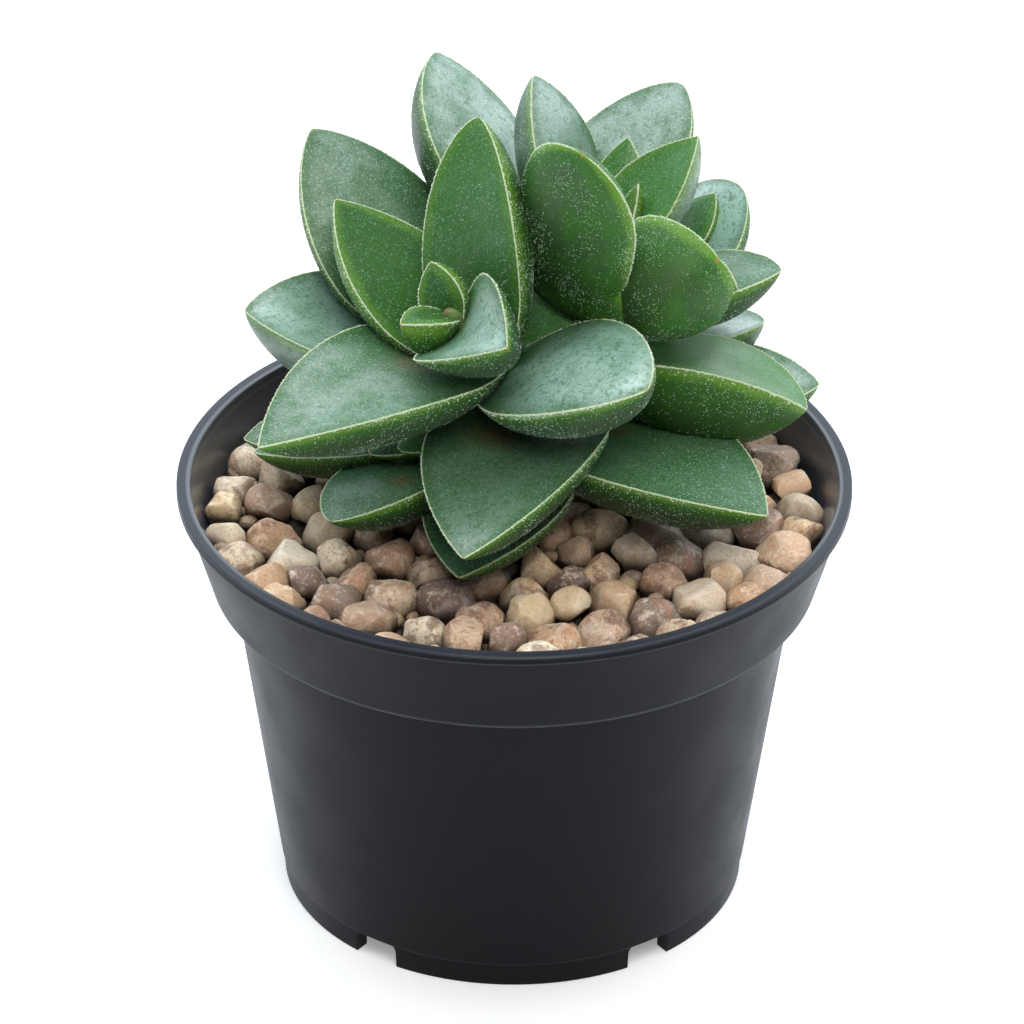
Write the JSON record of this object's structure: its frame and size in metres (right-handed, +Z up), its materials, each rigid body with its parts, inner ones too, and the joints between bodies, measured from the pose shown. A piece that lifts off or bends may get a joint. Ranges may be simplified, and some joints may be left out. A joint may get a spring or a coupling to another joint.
{
  "type": "potted springtime crassula",
  "caption": "Clump of thick, pale-edged succulent leaves on short stems, rooted in a round black plastic nursery pot topped with rounded gravel.",
  "frame": {"origin": "middle of the pot's foot, on the surface that the pot stands on", "axes": "+Z up along the pot's axis, -Y towards the viewer of the picture, +X to the right"},
  "size_m": [0.09, 0.09, 0.113],
  "materials": {
    "pot": "satin black moulded plastic",
    "leaf": "waxy green with white papillae and a pale margin",
    "stem": "matte pale green, brown towards the foot",
    "gravel": "matte tumbled stone in tan, cream and brown",
    "mix": "matte dark crumbs"
  },
  "bodies": {
    "root": {"pot": "pot", "potting_mix": "mix", "gravel": "gravel", "stems": "stem", "front_leaf_01": "leaf", "front_leaf_02": "leaf", "front_leaf_03": "leaf", "front_leaf_04": "leaf", "front_leaf_05": "leaf", "front_leaf_06": "leaf", "front_leaf_07": "leaf", "front_leaf_08": "leaf", "front_leaf_09": "leaf", "front_leaf_10": "leaf", "front_leaf_11": "leaf", "front_leaf_12": "leaf", "front_leaf_13": "leaf", "front_leaf_14": "leaf", "right_leaf_01": "leaf", "right_leaf_02": "leaf", "right_leaf_03": "leaf", "right_leaf_04": "leaf", "right_leaf_05": "leaf", "right_leaf_06": "leaf", "right_leaf_07": "leaf", "right_leaf_08": "leaf", "left_leaf_01": "leaf", "left_leaf_02": "leaf", "left_leaf_03": "leaf", "left_leaf_04": "leaf", "left_leaf_05": "leaf", "left_leaf_06": "leaf", "left_leaf_07": "leaf", "left_leaf_08": "leaf", "left_leaf_09": "leaf", "left_leaf_10": "leaf", "left_leaf_11": "leaf", "left_leaf_12": "leaf", "left_leaf_13": "leaf", "rear_leaf_01": "leaf", "rear_leaf_02": "leaf", "rear_leaf_03": "leaf", "rear_leaf_04": "leaf", "rear_leaf_05": "leaf", "rear_leaf_06": "leaf", "rear_leaf_07": "leaf"}
  },
  "joints": []
}
